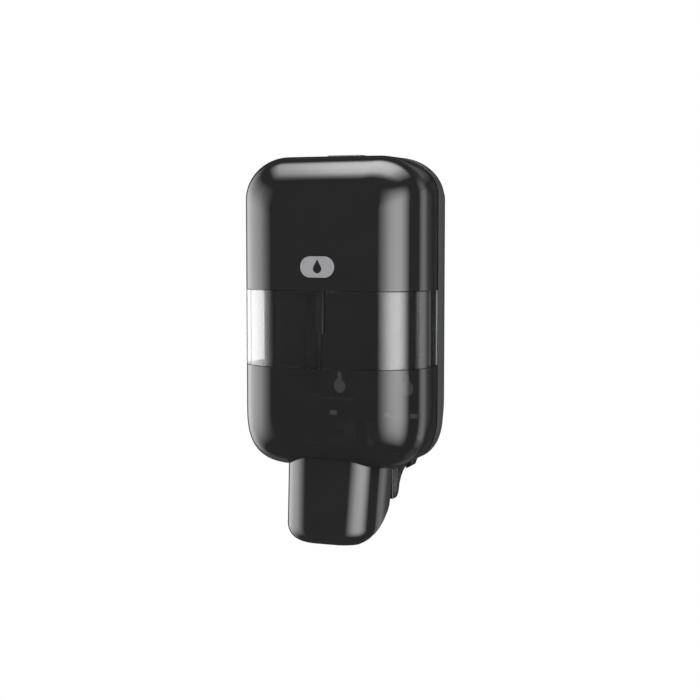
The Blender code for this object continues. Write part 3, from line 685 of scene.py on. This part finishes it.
def lever_plan(inset, rear, height=LEVER_LEVEL):
    """The lever's outline seen from above at a height, (x, depth), drawn in by inset."""
    drop = LEVER_LEVEL - height
    half = LEVER_HALF_WIDTH * (1 - LEVER_TAPER * drop) - inset
    front = LEVER_FRONT - LEVER_LEAN * drop + inset
    wide, deep = LEVER_ROUND_WIDTH - inset, LEVER_ROUND_DEPTH - inset
    angles = [pi / 2 * i / LEVER_STEPS for i in range(LEVER_STEPS, -1, -1)]
    right = [(half - wide + wide * sin(a), front + deep * (1 - cos(a))) for a in angles]
    left = [(-x, depth) for x, depth in reversed(right)]
    return [(half, rear)] + right + left + [(-half, rear)]


def knuckle(side):
    """Lug on the cover's floor that turns on the hinge pin."""
    radius = KNUCKLE_RADIUS - GAP
    points = [(0.0380, 0.0012), (HINGE_DEPTH, HINGE_HEIGHT - radius)]
    points += arc((HINGE_DEPTH, HINGE_HEIGHT), radius, -90, 90, 16)[1:]
    points += [(0.0430, 0.0090), (0.0380, 0.0060)]
    return prism("knuckle", points, "X",
                 *mirrored(side, EAR_INNER + KNUCKLE_START, EAR_INNER + KNUCKLE_END))


def make_cover():
    """The cover's three shells, with the button's notch, the lever's opening and the knuckles."""
    upper = cover_part("cover_upper_shell", WINDOW_HIGH + GAP, 0.2)
    carve(upper, [("DIFFERENCE", block("button_notch", (BUTTON_FRONT, STRIP_DEPTH), TOP_CUT,
                                       (-BUTTON_ROOM, BUTTON_ROOM)))])
    finish_piece(upper, GLOSS_BLACK, "cover", ["cover_upper"], 0.00025)

    window = cover_part("cover_window_pane", WINDOW_LOW, WINDOW_HIGH)
    finish_piece(window, CLEAR_WINDOW, "cover", ["cover_window"], 0.00012)

    lower = cover_part("cover_lower_shell", -0.01, WINDOW_LOW - GAP)
    opening = lever_plan(-LEVER_SLIT, 0.065)
    steps = [("DIFFERENCE", loft("lever_cutout", [[at(depth, height, x) for x, depth in opening]
                                                  for height in (-0.02, LEVER_TOP + 0.0005)]))]
    for side in (-1, 1):
        bore = hinge_rod("knuckle_bore", side, 0.034, 0.042, PIN_RADIUS + GAP)
        steps += [("UNION", knuckle(side)), ("DIFFERENCE", bore)]
    carve(lower, steps)
    finish_piece(lower, SMOKED, "cover", ["cover_lower"], 0.00025)


def make_badge():
    """Pill-shaped emblem with a raised rim and a droplet."""
    half = (BADGE_BOX[1].x - BADGE_BOX[0].x) / 2
    radius = (BADGE_BOX[1].z - BADGE_BOX[0].z) / 2
    middle = (BADGE_BOX[0].z + BADGE_BOX[1].z) / 2 - BOTTOM

    def pill(inset, depth):
        centre = half - radius
        size = radius - inset
        points = arc((centre, middle), size, -90, 90, 24)
        points += arc((-centre, middle), size, 90, 270, 24)
        return cover_ring(depth, points)

    badge = loft("cover_badge_emblem", [
        pill(0.0, BADGE_UNDER), pill(0.0, BADGE_RIM), pill(BADGE_RIM_WIDE, BADGE_RIM),
        pill(BADGE_RIM_WIDE + BADGE_SLOPE, BADGE_FACE)])
    points = arc((0, middle - DROP_LOW), DROP_RADIUS, 150, 390, 30) + [(0.0, middle + DROP_TIP)]
    droplet = prism("droplet", points, "Y", -0.002, 0.0004)
    carve(badge, [("DIFFERENCE", droplet)])
    finish_piece(badge, SILVER_PRINT, "cover", ["cover_badge"], 0.00006)


# ---- the rear housing ------------------------------------------------------------
def housing_rings(offset, rim, end, grooved=False):
    """The housing's surface from its front rim back to a closed end."""
    last = HOUSING_TAPER * (end - STRIP_DEPTH) / (DEPTH - STRIP_DEPTH)
    bend = 0.002
    stations = [(rim, 0.0)]
    if grooved:
        stations = [(rim, GROOVE_DEEP), (rim + GROOVE_WIDE, GROOVE_DEEP)]
        stations += [(rim + GROOVE_WIDE + setback, inset)
                     for setback, inset in rim_round(HOUSING_RIM_ROUND)]
    stations.append((STRIP_DEPTH - bend, 0.0))
    for i in range(1, 5):
        share = i / 4
        stations.append((STRIP_DEPTH - bend + 2 * bend * share,
                         HOUSING_TAPER * bend * share * share / (DEPTH - STRIP_DEPTH)))
    stations.append((end, last))
    rings = []
    for depth, drawn_in in stations:
        inset = offset + drawn_in
        rings.append([at(depth, height, x) for x, height in outline(inset, inset)])
    return rings


def keyhole(x):
    """Round head with a slot above it, right through the back wall."""
    head = KEYHOLE_HEAD / 2
    half = KEYHOLE_SLOT / 2
    lean = degrees(asin(half / head))
    points = arc((x, KEYHOLE_HEIGHT), head, 90 + lean, 450 - lean, 40)
    points += arc((x, KEYHOLE_HEIGHT + KEYHOLE_RISE - half), half, 0, 180, 16)
    return prism("keyhole", points, "Y", DEPTH - BACK_WALL - 0.002, DEPTH + 0.002)


def hinge_ear(side):
    """Plate that stands forward from the housing's floor and holds a hinge pin."""
    radius = KNUCKLE_RADIUS
    points = arc((HINGE_DEPTH, HINGE_HEIGHT), radius, 90, 270, 16)
    points += [(0.064, HINGE_HEIGHT - radius + 0.0014), (0.064, HINGE_HEIGHT + radius)]
    return prism("hinge_ear", points, "X", *mirrored(side, EAR_INNER, EAR_INNER + EAR_THICK))


def make_housing():
    """The wall tray, with its keyholes, slots and screw holes, its openings and hinge ears."""
    rim = COVER_DEPTH + GAP
    housing = new_object("rear_housing_shell",
                         shell_mesh(housing_rings(0.0, rim, DEPTH, grooved=True),
                                    housing_rings(WALL, rim, DEPTH - BACK_WALL)))
    cutters = [keyhole(-KEYHOLE_SPACING / 2), keyhole(KEYHOLE_SPACING / 2)]
    for side in (-1, 1):
        for low, high in SLOTS_ACROSS:
            cutters.append(block("slot", (0.085, 0.095), SLOT_HEIGHTS, mirrored(side, low, high)))
        cutters.append(hinge_rod("hinge_relief", side, 0.026, 0.045, HINGE_RELIEF))
        for height in SCREW_HEIGHTS:
            cutters.append(rod("screw_hole", at(0.080, height, side * SCREW_X),
                               at(0.0912, height, side * SCREW_X), SCREW_HOLE, steps=24))
    cutters.append(block("lever_opening", (CUT_FRONT, PUMP_REAR), FLOOR_CUT,
                         (-LEVER_ROOM, LEVER_ROOM)))
    cutters.append(block("button_opening", (CUT_FRONT, BUTTON_REAR), TOP_CUT,
                         (-BUTTON_ROOM, BUTTON_ROOM)))
    steps = [("DIFFERENCE", cutter) for cutter in cutters]
    for side in (-1, 1):
        bore = hinge_rod("ear_bore", side, 0.027, 0.041, PIN_RADIUS + GAP)
        steps += [("UNION", hinge_ear(side)), ("DIFFERENCE", bore)]
    carve(housing, steps)
    finish_piece(housing, HOUSING_BLACK, "housing", ["rear_housing"], 0.0002)


# ---- the lever -------------------------------------------------------------------
def scoop(name, inset, top, bottom, rear):
    """The lever's body from its top to its bottom, drawn in by inset."""
    chin = LEVER_CHIN - inset
    stations = [(top, inset), (bottom + chin, inset)]
    for i in range(1, LEVER_STEPS + 1):
        angle = pi / 2 * i / LEVER_STEPS
        stations.append((bottom + chin * (1 - sin(angle)), inset + chin * (1 - cos(angle))))
    return loft(name, [[at(depth, height, x) for x, depth in lever_plan(drawn_in, rear, height)]
                       for height, drawn_in in stations])


def make_lever():
    """Scoop below the cover: front, sides and a turned-in lip, open behind and below."""
    lever = scoop("push_lever_scoop", 0.0, LEVER_TOP, -LEVER_DROP, LEVER_REAR)
    beyond, below, over = LEVER_REAR + 0.010, -0.060, 0.020
    under = [(LEVER_LIP, below), *LEVER_CHEEK, (LEVER_REAR, -0.008), (beyond, -0.008),
             (beyond, below)]
    above = [(0.030, LEVER_TOP), (0.040, 0.001), (beyond, 0.001), (beyond, over),
             (0.030, over)]
    reach = LEVER_HALF_WIDTH + 0.005
    carve(lever, [
        ("DIFFERENCE", scoop("lever_hollow", WALL, 0.030, WALL - LEVER_DROP, beyond)),
        ("DIFFERENCE", prism("lever_under", under, "X", -reach, reach)),
        ("DIFFERENCE", prism("lever_above", above, "X", -reach, reach))])
    finish_piece(lever, GLOSS_BLACK, "lever", ["push_lever"], 0.0006, 3)


# ---- the shroud round the pump ---------------------------------------------------
def guard_side():
    """The shroud's side view: its front, its round nose and the ledge behind."""
    nose = arc((0.0680, -0.0180), 0.0066, 270, 340, 10)
    return ([(GUARD_FRONT, 0.016), (GUARD_FRONT, -0.0246)] + nose
            + [(0.0752, -0.0170), (0.0785, -0.0128), (0.0830, -0.0095), (0.0860, -0.0085),
               (0.0870, -0.0082), (0.0870, 0.016)])


def make_guard():
    """Ribbed shroud: a round-nosed body, a sloped skirt up to the housing and fine ribs."""
    skirt = [[at(depth, height, x) for x, depth in
              ((wide, 0.060), (-wide, 0.060), (-wide, middle), (-narrow, rear), (narrow, rear),
               (wide, middle))]
             for height, wide, middle, narrow, rear in GUARD_SKIRT]
    guard = loft("pump_guard_shroud", skirt)
    steps = [("UNION", prism("guard_body", guard_side(), "X", -GUARD_HALF, GUARD_HALF))]
    for side in (-1, 1):
        ends = mirrored(side, GUARD_HALF - RIB_SUNK, GUARD_HALF + RIB_STANDS)
        for (near, high), (far, low) in GUARD_RIBS:
            rib = [(near, high), (far, low), (far + RIB_WIDE, low + 0.0004),
                   (near + RIB_WIDE, high)]
            steps.append(("UNION", prism("guard_rib", rib, "X", *ends)))
    steps.append(("DIFFERENCE", loft("housing_clearance", [
        [at(depth, height, x) for x, height in outline(inset - GAP, inset - GAP)]
        for depth, inset in ((CUT_FRONT, 0.0), (STRIP_DEPTH, 0.0),
                             (DEPTH + 0.001, HOUSING_TAPER))])))
    steps.append(("DIFFERENCE", block("pump_space", (CUT_FRONT, PUMP_REAR), SHROUD_CUT,
                                      (-PUMP_ROOM, PUMP_ROOM))))
    steps.append(("DIFFERENCE", block("guard_front", (CUT_FRONT, GUARD_FRONT), SHROUD_CUT,
                                      (-HALF_WIDTH, HALF_WIDTH))))
    for side in (-1, 1):
        steps.append(("DIFFERENCE", block("lever_track", (CUT_FRONT, LEVER_TRACK_REAR), SHROUD_CUT,
                                          mirrored(side, LEVER_TRACK_START, LEVER_ROOM))))
    carve(guard, steps)
    finish_piece(guard, SATIN_BLACK, "housing", ["pump_guard"], 0.0002)


# ---- springs ---------------------------------------------------------------------
def coil(name, start, end, radius, wire, turns, body, node):
    """A compression spring with closed ends, as a tube along a helix."""
    axis = end - start
    turn = axis.to_track_quat("Z", "X")
    length = axis.length - wire
    steps, sides = int(turns * 28), 10
    rise = (length - 2 * wire) / (turns - 2)

    def centre(t):
        along = wire / 2
        if t < 1:
            along += wire * t
        elif t > turns - 1:
            along += length - wire * (turns - t)
        else:
            along += wire + rise * (t - 1)
        return Vector((radius * cos(2 * pi * t), radius * sin(2 * pi * t), along))

    rings = []
    for i in range(steps + 1):
        t = turns * i / steps
        here = centre(t)
        forward = (centre(min(t + 0.01, turns)) - centre(max(t - 0.01, 0.0))).normalized()
        out = Vector((cos(2 * pi * t), sin(2 * pi * t), 0.0))
        up = forward.cross(out).normalized()
        ring = []
        for k in range(sides):
            angle = 2 * pi * k / sides
            local = here + wire / 2 * (cos(angle) * out + sin(angle) * up)
            ring.append(start + turn @ local)
        rings.append(ring)
    return finish_piece(loft(name, rings), STEEL, body, [node])


def make_springs():
    """The three wound springs; two of them get meshes of their own."""
    spring = coil("plunger_spring_coil", at(0.0316, 0.010), at(0.0480, 0.010), 0.0048, 0.0009,
                  8, "housing", "plunger_spring")
    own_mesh(spring)
    spring = coil("lock_spring_coil", at(0.0506, 0.1507), at(0.0506, 0.1564), 0.0011, 0.0005,
                  7, "housing", "lock_spring")
    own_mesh(spring)
    coil("lever_spring_coil", at(0.020, 0.040, -0.0155), at(0.020, 0.040, -0.0055), 0.0032,
         0.0009, 9, "cover", "lever_spring")


# ---- CAD nodes that stay ---------------------------------------------------------
def dress(nodes, material, edge):
    """Give CAD nodes a finished material and small rounded edges."""
    for name in nodes:
        node = NODES[name]
        for slot in node.material_slots:
            slot.material = material
        weld = node.modifiers.new("weld", "WELD")
        weld.merge_threshold = 0.00002
        soften(node, edge)


def dress_nodes():
    """Materials of the pieces that keep their CAD shape."""
    dress(["lock_button"], GLOSS_BLACK, 0.00015)
    dress(["refill_cradle"], SATIN_BLACK, 0.0004)
    dress(["lever_frame", "lock_guide", "cover_catch", "lever_bracket_left",
           "lever_bracket_right"], MATT_BLACK, 0.0002)
    dress(["neck_collar", "pump_body", "pump_nozzle", "pump_plunger", "pusher_roller"],
          ACETAL, 0.00015)
    dress(["cradle_screw_1", "cradle_screw_2", "cradle_screw_3", "cradle_screw_4",
           "hinge_pin_left", "hinge_pin_right", "lever_pin", "lock_latch", "inlet_ball"],
          STEEL, 0.00012)
    dress(["plunger_seal", "outlet_valve"], RUBBER, 0.0001)


# ---- floor, light and camera -----------------------------------------------------
CENTRE = Vector((0.0, -0.046, 0.050))
LIGHT_DISTANCE = 10.0
FLOOR_LEVEL = -0.25
AMBIENT = 1.0
MIRRORED_AMBIENT = 0.045
CAMERA_PLACE = (0.32195, -0.85610, 0.09885)
CAMERA_DOWN = 4.73         # degrees below level
CAMERA_TURN = 21.56        # degrees from straight back
CAMERA_LENS = 75.4


def glow_material(name, attribute=None):
    """A light-giving surface, its strength even or from an attribute of its points."""
    material, nodes, links, shader = new_material(name)
    nodes.remove(shader)
    light = nodes.new("ShaderNodeEmission")
    links.new(light.outputs["Emission"], nodes["Material Output"].inputs["Surface"])
    if attribute:
        level = nodes.new("ShaderNodeAttribute")
        level.attribute_name = attribute
        links.new(level.outputs["Fac"], light.inputs["Strength"])
    return material


def light_panel(name, peak, across, upright, place):
    """A glowing sheet: two profiles of (position, level) and a function that places it."""
    positions = np.linspace(across[0][0], across[-1][0], 33)
    heights = np.linspace(upright[0][0], upright[-1][0], 33)
    bm = bmesh.new()
    layer = bm.verts.layers.float.new("glow")
    rows = []
    for height in heights:
        row = []
        for position in positions:
            vert = bm.verts.new(place(position, height))
            level = np.interp(position, *zip(*across)) * np.interp(height, *zip(*upright))
            vert[layer] = peak * float(level)
            row.append(vert)
        rows.append(row)
    for lower, upper in zip(rows, rows[1:]):
        for i in range(len(lower) - 1):
            bm.faces.new((lower[i], lower[i + 1], upper[i + 1], upper[i]))
    mesh = bpy.data.meshes.new(name)
    bm.to_mesh(mesh)
    bm.free()
    panel = bpy.data.objects.new(name, mesh)
    mesh.materials.append(glow_material(name, "glow"))
    bpy.context.scene.collection.objects.link(panel)
    panel.visible_camera = False
    panel.visible_diffuse = False
    panel.visible_shadow = False
    panel.visible_transmission = False


def around(turn, tilt):
    """A place at the light distance; turn is from the front towards +X, tilt is up, in degrees."""
    level = cos(radians(tilt))
    direction = Vector((sin(radians(turn)) * level, -cos(radians(turn)) * level,
                        sin(radians(tilt))))
    return CENTRE + LIGHT_DISTANCE * direction


def overhead(across, back):
    """A place on a level sheet above the object, in shares of its height."""
    return CENTRE + LIGHT_DISTANCE * Vector((across, back, 1.0))


def make_lights():
    """Soft panels beside, behind and above, and faint ones that show in the cover's corners."""
    light_panel("light_left", 4.3,
                [(-133, 0.0), (-130, 0.3), (-126, 0.5), (-110, 0.8), (-85, 1.0), (-73, 0.97),
                 (-60, 0.53), (-45, 0.0)],
                [(-43, 0.0), (-33, 0.28), (-21, 0.68), (-5, 1.0), (9, 0.8), (21, 0.41),
                 (33, 0.0)], around)
    light_panel("light_right", 7.9,
                [(20, 0.0), (33, 0.43), (45, 0.85), (57, 1.0), (66, 0.93), (75, 0.55),
                 (86, 0.0)],
                [(-46, 0.0), (-33, 0.36), (-21, 0.69), (-3, 1.0), (9, 0.87), (21, 0.57),
                 (36, 0.0)], around)
    light_panel("light_behind", 1.8,
                [(112, 0.0), (120, 0.8), (131, 1.0), (143, 0.5), (152, 0.2), (165, 0.0)],
                [(-37, 0.0), (-25, 1.0), (20, 1.0), (37, 0.0)], around)
    rear_corner = [(112, 0.0), (125, 1.0), (180, 1.0), (196, 0.0)]
    light_panel("rim_above", 0.24, rear_corner,
                [(14, 0.0), (20, 1.0), (34, 1.0), (41, 0.0)], around)
    light_panel("rim_below", 0.24, rear_corner,
                [(-62, 0.0), (-52, 1.0), (-30, 1.0), (-24, 0.0)], around)
    light_panel("light_above", 9.8,
                [(-1.0, 0.0), (-0.8, 0.19), (-0.5, 0.58), (-0.38, 0.85), (-0.27, 0.95), (0, 1.0),
                 (0.27, 0.95), (0.38, 0.85), (0.5, 0.58), (0.8, 0.19), (1.0, 0.0)],
                [(-0.65, 0.0), (-0.5, 0.28), (-0.38, 0.66), (-0.27, 0.96), (0, 1.0),
                 (0.27, 0.75), (0.38, 0.4), (0.5, 0.05), (0.6, 0.0)], overhead)


def make_world():
    """White all round, and dark where gloss would mirror it, as in a black-flagged studio."""
    world = bpy.data.worlds.new("studio")
    bpy.context.scene.world = world
    world.use_nodes = True
    world.cycles.sampling_method = "NONE"
    nodes, links = world.node_tree.nodes, world.node_tree.links
    background = nodes["Background"]
    background.inputs["Color"].default_value = (1.0, 1.0, 1.0, 1.0)
    path = nodes.new("ShaderNodeLightPath")
    level = nodes.new("ShaderNodeMapRange")
    level.inputs["To Min"].default_value = AMBIENT
    level.inputs["To Max"].default_value = MIRRORED_AMBIENT
    links.new(path.outputs["Is Glossy Ray"], level.inputs["Value"])
    links.new(level.outputs["Result"], background.inputs["Strength"])


def make_floor():
    """Pale floor, well below the object."""
    bm = bmesh.new()
    bmesh.ops.create_grid(bm, x_segments=1, y_segments=1, size=6.0,
                          matrix=Matrix.Translation((0, 0, FLOOR_LEVEL)))
    floor = new_object("floor", bm)
    floor.data.materials.append(glow_material("pale_floor"))
    floor.visible_glossy = False
    floor.visible_shadow = False


def make_camera():
    """The view from the right and slightly above."""
    data = bpy.data.cameras.new("camera")
    camera = bpy.data.objects.new("camera", data)
    bpy.context.scene.collection.objects.link(camera)
    camera.location = CAMERA_PLACE
    camera.rotation_euler = (radians(90 - CAMERA_DOWN), 0.0, radians(CAMERA_TURN))
    data.lens = CAMERA_LENS
    data.clip_start = 0.01
    bpy.context.scene.camera = camera


make_cover()
make_badge()
make_housing()
make_lever()
make_guard()
make_springs()
dress_nodes()
make_lights()
make_world()
make_floor()
make_camera()
bpy.context.scene.view_settings.view_transform = "Standard"
